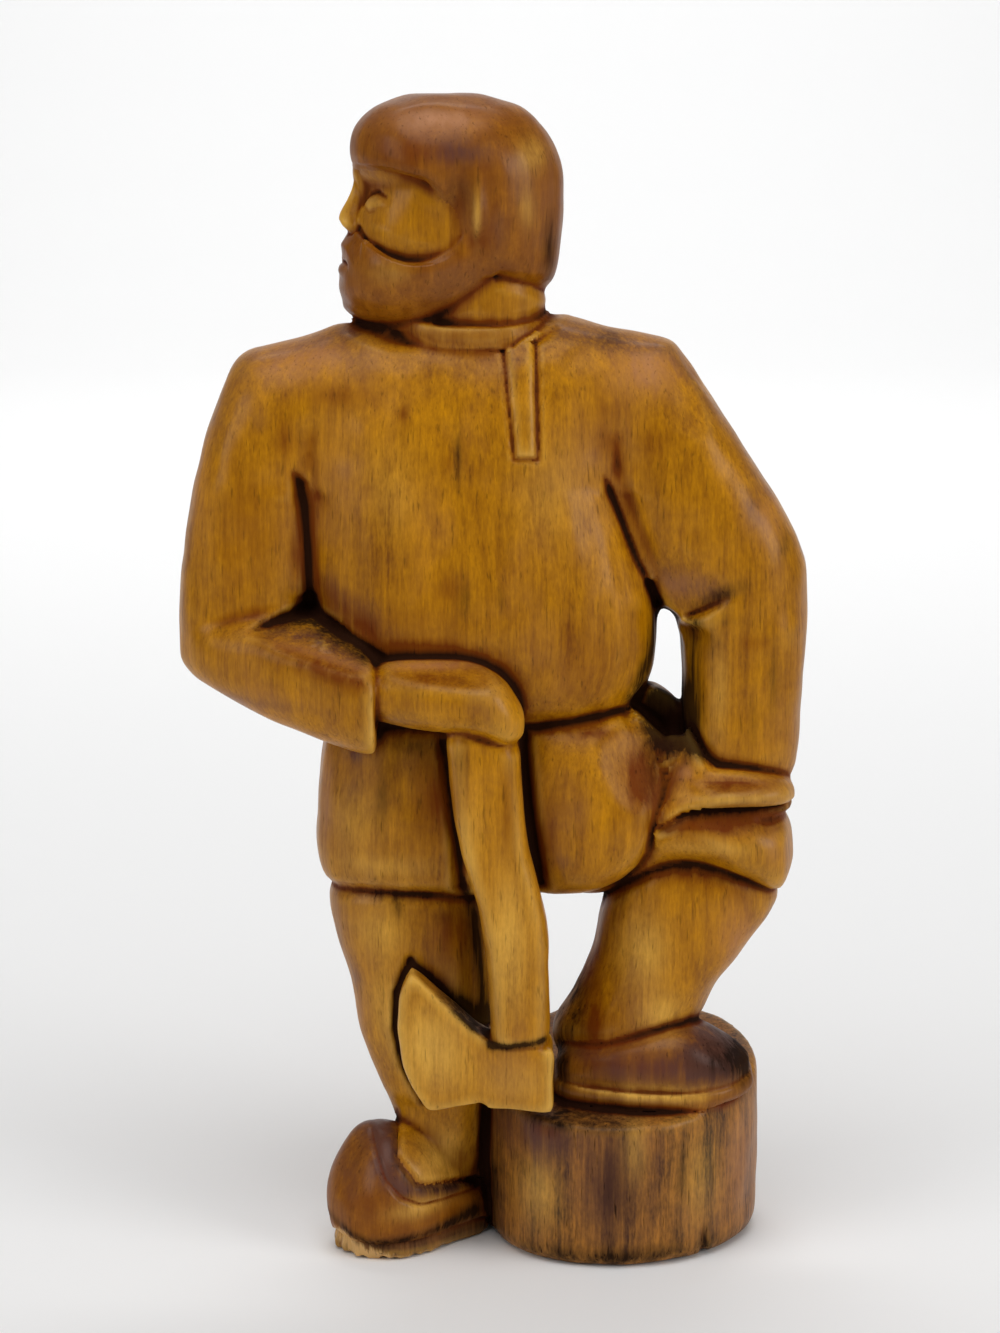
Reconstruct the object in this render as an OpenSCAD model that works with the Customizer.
// Carved lumberjack figure: a bearded woodcutter, one foot on a stump and one hand on an axe.
// Millimetres. +X is the viewer's right, +Y is away from the viewer, +Z is up from the ground.
// Left and right in the names are the woodcutter's own.

/* [Block] */
// Height of the crown of the hair
crown_h = 305; // [297:1:313]
// Height of the collar's lower edge in front
neck_h = 241; // [235:1:247]
// Height of the waist, where the tunic is gathered
waist_h = 143; // [138:1:148]
// Height of the tunic's hem
hem_h = 97; // [93:1:101]
// Height of the stump in its middle
stump_h = 46; // [42:1:49]
// Width from elbow to elbow
figure_w = 165.8; // [156.8:1:174.8]
// Depth from the axe to the back of the stump
figure_d = 80.9; // [75.9:1:85.9]

/* [Stump] */
// Diameter of the stump
stump_d = 73; // [68:1:76]
// Slope of the stump's top towards the viewer, in degrees
stump_slope = 11; // [7:1:13]

/* [Axe] */
// Thickness of the axe head at its back
poll_t = 18; // [15:0.5:20]
// Thickness of the axe head at its cutting edge
blade_t = 9; // [7:0.5:12]

/* [Dress] */
// Thickness of a boot's sole
sole_t = 5; // [4:0.5:6]
// How far the raised boot's sole stands out around it
sole_lip = 1; // [0.5:0.25:1.5]
// How far the standing boot's worn sole is set in under it
sole_inset = 1; // [0.5:0.25:1.5]
// Height of the collar
collar_h = 5.5; // [4:0.5:7]
// How far the placket strip stands out from the chest
placket_t = 1; // [0.5:0.25:2]

/* [Head] */
// Turn of the face from full profile towards the viewer, in degrees
face_turn = 12; // [6:1:18]

/* [Hidden] */

// Points around each ring of a carved mass, and rings between two drawn ones
SIDES = 24;
STEPS = 2;
// Overlap that keeps a cut from ending flush with the face it cuts
PAST = 0.5;
// Height that the raised trouser leg ends above its sole
LEG_CLEAR = 1.5;

// Colours of the stained wood
HONEY = "#b07c34";
UMBER = "#7a4a24";
DARK = "#54331c";

// The masses are drawn on a block of these sizes, which the values above then stretch
DRAWN_W = 165.8;
DRAWN_D = 80.9;
// The block's middle lies this far in front of the figure's own middle
FORWARD = 3.55;
// The shoulders and the collar keep their own height over the collar's lower edge
SHOULDER_RISE = 9;
// Height over the crown up to which the stretch goes on
ABOVE = 95;
HEIGHTS = [[0, 0], [46, stump_h], [97, hem_h], [143, waist_h], [241, neck_h],
    [241 + SHOULDER_RISE, neck_h + SHOULDER_RISE], [305, crown_h], [305 + ABOVE, crown_h + ABOVE]];

// Middle of the stump, how much longer than round it is and which way, then the ankle of the
// standing foot and the way that foot points
STUMP_X = 35;
STUMP_LONG = 1.05;
STUMP_TURN = 50;
ANKLE = [-12, -4];
FOOT_TURN = 218;
// Axis that the head turns about, and the lean of the collar
HEAD_AXIS = [-9, 1];
COLLAR_LEAN = 12;

function wide(x) = x * figure_w / DRAWN_W;
function deep(y) = (y + FORWARD) * figure_d / DRAWN_D;
function lift(z) = lookup(z, HEIGHTS);
function place(p) = [wide(p[0]), deep(p[1]), lift(p[2])];

// A rounded square: n is 2 for an ellipse, and more is squarer
function bow(c, n) = sign(c) * pow(abs(c), 2 / n);
function oval(a0, a1, b0, b1, n, sides = SIDES) = [for (k = [0:sides - 1]) let (t = 360 * k / sides)
    [(a0 + a1 + (a1 - a0) * bow(cos(t), n)) / 2, (b0 + b1 + (b1 - b0) * bow(sin(t), n)) / 2]];

// A level ring is [height, left, right, front, back, n], an upright one [x, bottom, top, front, back, n]
function level_ring(s) = [for (p = oval(s[1], s[2], s[3], s[4], s[5])) [p[0], p[1], s[0]]];
function upright_ring(s) = [for (p = oval(s[3], s[4], s[1], s[2], s[5])) [s[0], p[0], p[1]]];

// Rings on a smooth curve through the drawn ones
function drawn(rings, i) = rings[min(max(i, 0), len(rings) - 1)];
function between(rings, i, t) =
    let (a = drawn(rings, i - 1), b = drawn(rings, i), c = drawn(rings, i + 1), d = drawn(rings, i + 2))
    b + (c - a) * t / 2 + (a * 2 - b * 5 + c * 4 - d) * t * t / 2 + (b * 3 - a - c * 3 + d) * t * t * t / 2;
function flowing(rings) = concat(
    [for (i = [0:len(rings) - 2]) for (k = [0:STEPS - 1]) between(rings, i, k / STEPS)],
    [rings[len(rings) - 1]]);

// Rings whose front is brought forward by t
function forward(rings, t) = [for (s = rings) [s[0], s[1], s[2], s[3] - t, s[4], s[5]]];

// Tunic body, from the waist to the chest, and the yoke over the shoulders
BODY = [
    [141, -38, 30, -18, 16, 2.6],
    [145, -43, 37, -24, 20, 2.6],
    [152, -46, 41.5, -28, 23, 2.6],
    [163, -48, 43.4, -30, 25, 2.6],
    [176, -49, 42.6, -30, 25, 2.6],
    [190, -49, 38.5, -28.5, 25, 2.7],
    [206, -49, 34, -26.5, 24, 2.8],
    [222, -51, 36, -24, 23, 2.8],
    [234, -48, 34, -20.5, 20, 2.7],
    [242, -34, 20, -17, 17, 2.5]];
YOKE = [
    [-63, 224, 237, -9, 11, 2.1],
    [-56, 218, 241, -14, 14, 2.1],
    [-46, 210, 243.8, -18, 17.5, 2.1],
    [-32, 204, 246.5, -20.5, 19, 2.1],
    [-12, 204, 247.5, -21, 19, 2.1],
    [8, 204, 249, -21, 19, 2.1],
    [20, 205, 248.2, -20.5, 19, 2.1],
    [32, 210, 245.5, -18.5, 18, 2.1],
    [42, 218, 242.7, -14.5, 14.5, 2.1],
    [48, 224, 239, -9, 10, 2.1]];

// Tunic skirt, hem to waist, and its fuller front that hangs over the raised thigh
SKIRT = [
    [97, -43, 20, -20, 18, 2.8],
    [101, -46, 28, -24, 22, 2.8],
    [108, -47.2, 34, -25, 23, 2.8],
    [118, -47, 40, -25, 23, 2.8],
    [130, -46, 43, -24, 22, 2.8],
    [141, -44, 42, -22, 20, 2.8],
    [146, -42, 38, -20, 18, 2.8]];
SKIRT_FRONT = [
    [98, 11, 25, -22, -4, 2.4],
    [102, 8, 35, -28, 0, 2.5],
    [110, 5, 42.5, -30.5, 2, 2.6],
    [120, 4, 46.5, -30.5, 4, 2.7],
    [131, 4, 47.5, -29, 4, 2.7],
    [141, 5, 45, -25, 4, 2.6],
    [147, 8, 36, -18, 2, 2.5]];

// Right sleeve: the upper arm, then the forearm laid across the waist
RIGHT_UPPER_ARM = [
    [155, -79.5, -46, -16, 12, 2.5],
    [163, -82.7, -47, -20, 16, 2.7],
    [175, -82.6, -47, -20, 18, 2.7],
    [190, -81, -47, -20, 19, 2.7],
    [206, -78, -46, -20, 19, 2.7],
    [222, -73.5, -42, -19, 18, 2.6],
    [234, -68.5, -38, -15, 15, 2.5],
    [240, -62, -40, -8, 9, 2.4]];
RIGHT_FOREARM = [
    [-82, 158, 168, -10, 4, 2.3],
    [-78, 153.5, 172, -18, 9, 2.5],
    [-68, 148.5, 172, -26, 8, 2.6],
    [-56, 144, 172, -33, 2, 2.7],
    [-44, 140.5, 173, -38, -6, 2.8],
    [-36, 138.5, 168, -41, -12, 2.8],
    [-30, 138, 162, -42, -16, 2.8]];
RIGHT_HAND = [
    [-33, 147, 160, -38, -20, 2.4],
    [-28, 146.5, 162, -40, -20, 2.4],
    [-20, 145, 163, -42, -20, 2.4],
    [-10, 143.5, 163, -43, -20, 2.4],
    [-2, 142, 161.5, -44, -21, 2.4],
    [4, 140.5, 157, -43, -23, 2.4],
    [8, 143, 150, -38, -28, 2.2]];

// Left sleeve, from the cuff on the thigh to the shoulder
LEFT_ARM = [
    [127, 52.5, 79.7, -20, 15, 2.7],
    [135, 50.5, 80.8, -21, 16, 2.7],
    [150, 49.8, 81.8, -21, 17, 2.7],
    [164, 49.5, 82.6, -21, 18, 2.7],
    [171, 44.5, 82.9, -21, 19, 2.7],
    [184, 38, 82.2, -21, 19, 2.7],
    [196, 33, 77.2, -21, 19, 2.7],
    [210, 29, 68.3, -20, 19, 2.7],
    [226, 28, 58, -18, 18, 2.6],
    [237, 27, 51.5, -14, 15, 2.5],
    [242, 27, 46, -8, 9, 2.4]];
LEFT_HAND = [
    [42.5, 112.5, 117, -28, -8, 2.3],
    [47, 113, 127, -30, 2, 2.4],
    [52, 115.5, 132.5, -30.5, 6, 2.6],
    [60, 118, 133, -30.5, 8, 2.6],
    [70, 118.5, 132, -29, 8, 2.6],
    [76.5, 119, 130, -25, 6, 2.6],
    [79, 121, 127, -18, 0, 2.3]];

// Legs
LEFT_THIGH = [
    [8, 99, 128, -16, 12, 2.6],
    [20, 95, 138, -20, 16, 2.6],
    [30, 94.5, 148, -23, 20, 2.6],
    [40, 98, 151, -26, 22, 2.6],
    [47, 101.5, 148, -28, 22, 2.6],
    [53, 103, 141, -29, 21, 2.6],
    [60, 102.5, 130, -29.5, 19, 2.6],
    [70, 99, 121, -28, 15, 2.6],
    [76, 97, 119.5, -24, 11, 2.6],
    [79.3, 105, 114, -14, 2, 2.4]];
LEFT_SHIN = [
    [48, 18, 51, -21, 5, 2.2],
    [54, 16, 53, -23, 6, 2.2],
    [60, 16.5, 55, -24, 7, 2.2],
    [66, 21, 57, -24, 8, 2.2],
    [73, 25.5, 61, -24, 9, 2.3],
    [84, 29.3, 69.5, -24, 11, 2.4],
    [95, 30.3, 76.5, -24, 13, 2.4],
    [104, 33, 75.5, -23, 13, 2.4],
    [112, 36, 72, -20, 12, 2.4]];
RIGHT_LEG = [
    [9, -22.5, -4, -10, 8, 2.5],
    [15, -23.5, -3.5, -12, 8, 2.5],
    [28, -25, -3, -16, 9, 2.5],
    [42, -29.8, -2, -20, 11, 2.5],
    [57, -35.8, 0, -22, 13, 2.5],
    [72, -38.3, 1, -23, 16, 2.5],
    [84, -42.3, 2, -23, 18, 2.5],
    [96, -44, 2, -22, 19, 2.5],
    [104, -41, 2, -20, 18, 2.5]];

// Boots above their soles: the right one along the foot from the ankle, the left one across the stump
RIGHT_BOOT = [
    [-16, -4, 6, -6, 6, 2.2],
    [-12, -7, 9, -9.5, 9.5, 2.4],
    [-4, -9, 11, -11.5, 11.5, 2.5],
    [6, -12, 19, -12.5, 12.5, 2.4],
    [14, -14, 26.5, -14, 14, 2.4],
    [21, -14, 29, -14.5, 14.5, 2.4],
    [28, -12, 25, -13.5, 13.5, 2.4],
    [33, -8, 18, -10, 10, 2.3],
    [36, -4, 10, -5, 5, 2.2]];
LEFT_BOOT = [
    [17, -4, 5, -18, -8, 2.2],
    [20, -7, 9, -22, -5, 2.4],
    [30, -9, 12, -25.5, -3.5, 2.5],
    [42, -11, 15, -27.5, -2.5, 2.5],
    [52, -11, 15, -27.5, -2, 2.5],
    [60, -8, 10, -25, -2.5, 2.4],
    [65, -5, 6, -21, -4, 2.3],
    [68.5, -3, 3, -15, -8, 2.2]];

// Axe
HANDLE = [
    [62, -0.7, 14.9, -41.5, -23, 2.6],
    [78, -1.2, 14.8, -42, -23.5, 2.6],
    [95, -3.3, 14, -42, -24, 2.6],
    [107, -6.5, 11, -42, -24, 2.6],
    [119, -9.5, 8.5, -42, -24, 2.6],
    [140, -12, 7, -41, -24, 2.6],
    [150, -12.5, 6.5, -40, -24, 2.6]];
AXE_OUTLINE = [
    [15.7, 62], [2, 61.3], [-3.5, 64.5], [-12.5, 72.5], [-21.5, 80.5], [-24.3, 73.5], [-25, 64.5],
    [-23.6, 55.5], [-21, 48.5], [-17, 42.8], [-11, 44], [-5, 45.5], [-2, 47.5], [-1.5, 44.6],
    [15.7, 44.6]];
AXE_BACK = -24;

// Placket, neck and collar
PLACKET = [[2.2, 245], [10.8, 245], [11.6, 213.5], [5.5, 213.5]];
NECK = [
    [238, -22, 12, -15, 15, 2.3],
    [246, -21, 13.5, -16, 15.5, 2.3],
    [256, -19, 14.3, -16, 15.5, 2.3],
    [266, -16, 14, -15, 15, 2.3]];
COLLAR = [-27, 14.8, -18.5, 17.5, 2.3];

// Head, facing left of the picture: the face, the nose, the beard's outside and the hair's outside
FACE = [
    [250, -25, -5, -9, 9, 2.3],
    [254, -31, -1, -13, 13, 2.3],
    [260, -34, 4, -16, 16, 2.3],
    [268, -35.5, 8, -18.5, 18.5, 2.3],
    [276, -35.5, 11, -19.5, 19.5, 2.3],
    [283, -34.5, 13, -19.5, 19.5, 2.3],
    [290, -35.5, 13.5, -19, 19, 2.3],
    [297, -32, 11, -16, 16, 2.3],
    [301, -25, 6, -11, 11, 2.3]];
NOSE = [
    [270.5, -38.5, -31, -3.5, 3.5, 2],
    [273, -42, -31, -4.2, 4.2, 2],
    [278, -40, -31, -3.2, 3.2, 2],
    [284, -37, -31, -2.4, 2.4, 2],
    [288, -36, -31, -2.6, 2.6, 2]];
BEARD = [
    [246, -29, -16, -7, 7, 2.3],
    [248.5, -36, -7, -12, 12, 2.4],
    [254, -41, 0, -17, 17, 2.4],
    [260, -41, 6, -20, 20, 2.4],
    [266, -39, 9, -21, 21, 2.4],
    [273, -37, 10, -21, 21, 2.4]];
HAIR = [
    [254, 1, 13, -10, 10, 2.3],
    [258, -7, 15.5, -17, 17, 2.3],
    [264, -21, 17, -21, 21, 2.3],
    [272, -31, 18, -22.5, 22.5, 2.3],
    [280, -36, 18.4, -23, 23, 2.3],
    [288, -38, 17.3, -23, 23, 2.3],
    [296, -37, 13.5, -20.5, 20.5, 2.3],
    [302, -31, 6.5, -15, 15, 2.3],
    [305, -22, -3, -8, 8, 2.3]];
// Lower edge of the fringe and front edge of the side hair, as an outline seen from the side
HAIRLINE = [[-60, 288], [-31, 287], [-21, 284], [-14, 277], [-10, 268], [-6, 258], [-5, 240], [-60, 240]];
// Middle of the round cheek that the beard runs under
CHEEK = [-24, 279];
CHEEK_R = 16;

// Carved masses, before their neighbours are cut out of them
module mass(rings) {
    for (i = [0:len(rings) - 2])
        hull()
            polyhedron(concat(rings[i], rings[i + 1]), [[for (k = [0:2 * SIDES - 1]) k]]);
}
module level_mass(rings) { mass([for (s = flowing(rings)) [for (p = level_ring(s)) place(p)]]); }
module upright_mass(rings) { mass([for (s = flowing(rings)) [for (p = upright_ring(s)) place(p)]]); }

// A boot keeps its own sizes and is cut off level where it rests on its sole
module boot_mass(rings) {
    difference() {
        mass([for (s = flowing(rings)) upright_ring(s)]);
        translate([-figure_w, -figure_w, -stump_h])
            cube([2 * figure_w, 2 * figure_w, stump_h]);
    }
}

// The sole's outline follows the widest part of the boot, ring by ring, and stands out by the lip
module sole_mass(rings, lip) {
    steps = flowing(rings);
    heel = steps[0][0];
    toe = steps[len(steps) - 1][0];
    stretch = (toe - heel + 2 * lip) / (toe - heel);
    near = [for (s = steps) [heel - lip + (s[0] - heel) * stretch, s[3] - lip]];
    far = [for (s = steps) [heel - lip + (s[0] - heel) * stretch, s[4] + lip]];
    linear_extrude(sole_t)
        polygon(concat(near, [for (i = [len(far) - 1:-1:0]) far[i]]));
}

// Frames: the standing foot on the ground, the raised foot on the stump, the turned head
module on_ground() {
    translate([wide(ANKLE[0]), deep(ANKLE[1]), 0])
        rotate(FOOT_TURN)
            children();
}
module on_stump() {
    translate([0, deep(0), stump_h])
        rotate([stump_slope, 0, 0])
            children();
}
module turned() {
    translate([wide(HEAD_AXIS[0]), deep(HEAD_AXIS[1])])
        rotate(face_turn)
            translate([-wide(HEAD_AXIS[0]), -deep(HEAD_AXIS[1])])
                children();
}

module stump_mass() {
    long_r = stump_d / 2 * STUMP_LONG;
    short_r = stump_d / 2 / STUMP_LONG;
    difference() {
        translate([wide(STUMP_X), deep(0)])
            rotate(STUMP_TURN)
                linear_extrude(2 * stump_h)
                    polygon(oval(-long_r, long_r, -short_r, short_r, 2, 4 * SIDES));
        on_stump()
            translate([wide(STUMP_X) - stump_d, -stump_d, 0])
                cube([2 * stump_d, 2 * stump_d, 2 * stump_h]);
    }
}
module right_sole_mass() { on_ground() sole_mass(RIGHT_BOOT, -sole_inset); }
module right_boot_mass() { on_ground() translate([0, 0, sole_t]) boot_mass(RIGHT_BOOT); }
module left_sole_mass() { on_stump() sole_mass(LEFT_BOOT, sole_lip); }
module left_boot_mass() { on_stump() translate([0, 0, sole_t]) boot_mass(LEFT_BOOT); }

module forearm_mass() { upright_mass(RIGHT_FOREARM); }
module left_arm_mass() { level_mass(LEFT_ARM); }
module right_hand_mass() { upright_mass(RIGHT_HAND); }
module left_hand_mass() { upright_mass(LEFT_HAND); }
module handle_mass() { level_mass(HANDLE); }

// The axe head thins from its back towards the cutting edge
module axe_head_mass() {
    back_x = wide(AXE_OUTLINE[0][0]);
    edge_x = wide(AXE_OUTLINE[6][0]);
    front = deep(AXE_BACK) - poll_t;
    intersection() {
        translate([0, deep(AXE_BACK), 0])
            rotate([90, 0, 0])
                linear_extrude(poll_t)
                    polygon([for (p = AXE_OUTLINE) [wide(p[0]), lift(p[1])]]);
        linear_extrude(crown_h)
            polygon([[back_x + PAST, deep(AXE_BACK) + PAST], [edge_x - PAST, deep(AXE_BACK) + PAST],
                [edge_x - PAST, deep(AXE_BACK) - blade_t], [back_x + PAST, front]]);
    }
}

module body_mass() {
    level_mass(BODY);
    upright_mass(YOKE);
}
module skirt_mass() {
    level_mass(SKIRT);
    level_mass(SKIRT_FRONT);
}
module thigh_mass() { upright_mass(LEFT_THIGH); }

// The collar stands on the shoulders, and its upper edge rises towards the back
module collar_mass() {
    ring = oval(COLLAR[0], COLLAR[1], COLLAR[2], COLLAR[3], COLLAR[4]);
    difference() {
        translate([0, 0, neck_h])
            linear_extrude(crown_h - neck_h)
                polygon([for (p = ring) [wide(p[0]), deep(p[1])]]);
        translate([-figure_w, deep(COLLAR[2]), neck_h + collar_h])
            rotate([COLLAR_LEAN, 0, 0])
                translate([0, -figure_d, 0])
                    cube([2 * figure_w, 3 * figure_d, crown_h]);
    }
}
module neck_mass() { level_mass(NECK); }

// The strip of the placket, seen from the front, running down from the collar
module placket_mass() {
    intersection() {
        union() {
            level_mass(forward(BODY, placket_t));
            upright_mass(forward(YOKE, placket_t));
        }
        rotate([90, 0, 0])
            linear_extrude(figure_d)
                polygon([for (p = PLACKET) [wide(p[0]), lift(p[1])]]);
    }
}

module face_mass() {
    turned() {
        level_mass(FACE);
        level_mass(NOSE);
    }
}
module hair_mass() { turned() difference() { level_mass(HAIR); face_window(); } }
module beard_mass() { turned() difference() { level_mass(BEARD); cheek_window(); } }

// The hair leaves the face free below the fringe and in front of the ear
module face_window() {
    rotate([90, 0, 0])
        linear_extrude(figure_d, center = true)
            polygon([for (p = HAIRLINE) [wide(p[0]), lift(p[1])]]);
}
// The beard's upper edge runs under a round cheek
module cheek_window() {
    edge = oval(CHEEK[0] - CHEEK_R, CHEEK[0] + CHEEK_R, CHEEK[1] - CHEEK_R, CHEEK[1] + CHEEK_R, 2, 2 * SIDES);
    rotate([90, 0, 0])
        linear_extrude(figure_d, center = true)
            polygon([for (p = edge) [wide(p[0]), lift(p[1])]]);
}

// The pieces: each keeps its own face and is cut to the faces of the pieces that lie over it
module stump() { color(UMBER) stump_mass(); }
module right_boot_sole() { color(DARK) difference() { right_sole_mass(); stump_mass(); } }
module right_boot() { color(UMBER) difference() { right_boot_mass(); stump_mass(); } }
module left_boot_sole() { color(DARK) left_sole_mass(); }
module left_boot() { color(UMBER) left_boot_mass(); }
module right_leg() {
    color(HONEY)
        difference() {
            level_mass(RIGHT_LEG);
            right_boot_mass();
            stump_mass();
            axe_head_mass();
            handle_mass();
            skirt_mass();
            thigh_mass();
        }
}
module left_shin() {
    color(HONEY)
        difference() {
            level_mass(LEFT_SHIN);
            left_boot_mass();
            thigh_mass();
            on_stump()
                translate([-figure_w, -figure_w, -stump_h])
                    cube([2 * figure_w, 2 * figure_w, stump_h + sole_t + LEG_CLEAR]);
        }
}
module left_thigh() {
    color(HONEY)
        difference() {
            thigh_mass();
            skirt_mass();
            body_mass();
            left_arm_mass();
            left_hand_mass();
            handle_mass();
        }
}
module tunic_skirt() {
    color(HONEY)
        difference() {
            skirt_mass();
            body_mass();
            forearm_mass();
            right_hand_mass();
            handle_mass();
            left_hand_mass();
        }
}
module tunic_body() {
    color(HONEY)
        difference() {
            body_mass();
            forearm_mass();
            right_hand_mass();
            handle_mass();
            collar_mass();
            neck_mass();
        }
}
module placket() {
    color(HONEY)
        difference() {
            placket_mass();
            body_mass();
            collar_mass();
        }
}
module collar() {
    color(HONEY)
        difference() {
            collar_mass();
            neck_mass();
            beard_mass();
        }
}
module right_sleeve() {
    color(HONEY)
        difference() {
            union() {
                difference() {
                    level_mass(RIGHT_UPPER_ARM);
                    body_mass();
                }
                forearm_mass();
            }
            right_hand_mass();
        }
}
module right_hand() { color(HONEY) right_hand_mass(); }
module left_sleeve() {
    color(HONEY)
        difference() {
            left_arm_mass();
            body_mass();
            left_hand_mass();
        }
}
module left_hand() { color(HONEY) left_hand_mass(); }
module axe_handle() {
    color(HONEY)
        difference() {
            handle_mass();
            right_hand_mass();
            axe_head_mass();
        }
}
module axe_head() { color(HONEY) axe_head_mass(); }
module neck() {
    color(HONEY)
        difference() {
            neck_mass();
            face_mass();
            beard_mass();
            hair_mass();
        }
}
module head() { color(HONEY) face_mass(); }
module beard() {
    color(UMBER)
        difference() {
            beard_mass();
            face_mass();
            hair_mass();
        }
}
module hair() {
    color(UMBER)
        difference() {
            hair_mass();
            face_mass();
        }
}

stump();
right_boot_sole();
right_boot();
right_leg();
left_boot_sole();
left_boot();
left_shin();
left_thigh();
tunic_skirt();
tunic_body();
placket();
collar();
right_sleeve();
right_hand();
left_sleeve();
left_hand();
axe_handle();
axe_head();
neck();
head();
beard();
hair();
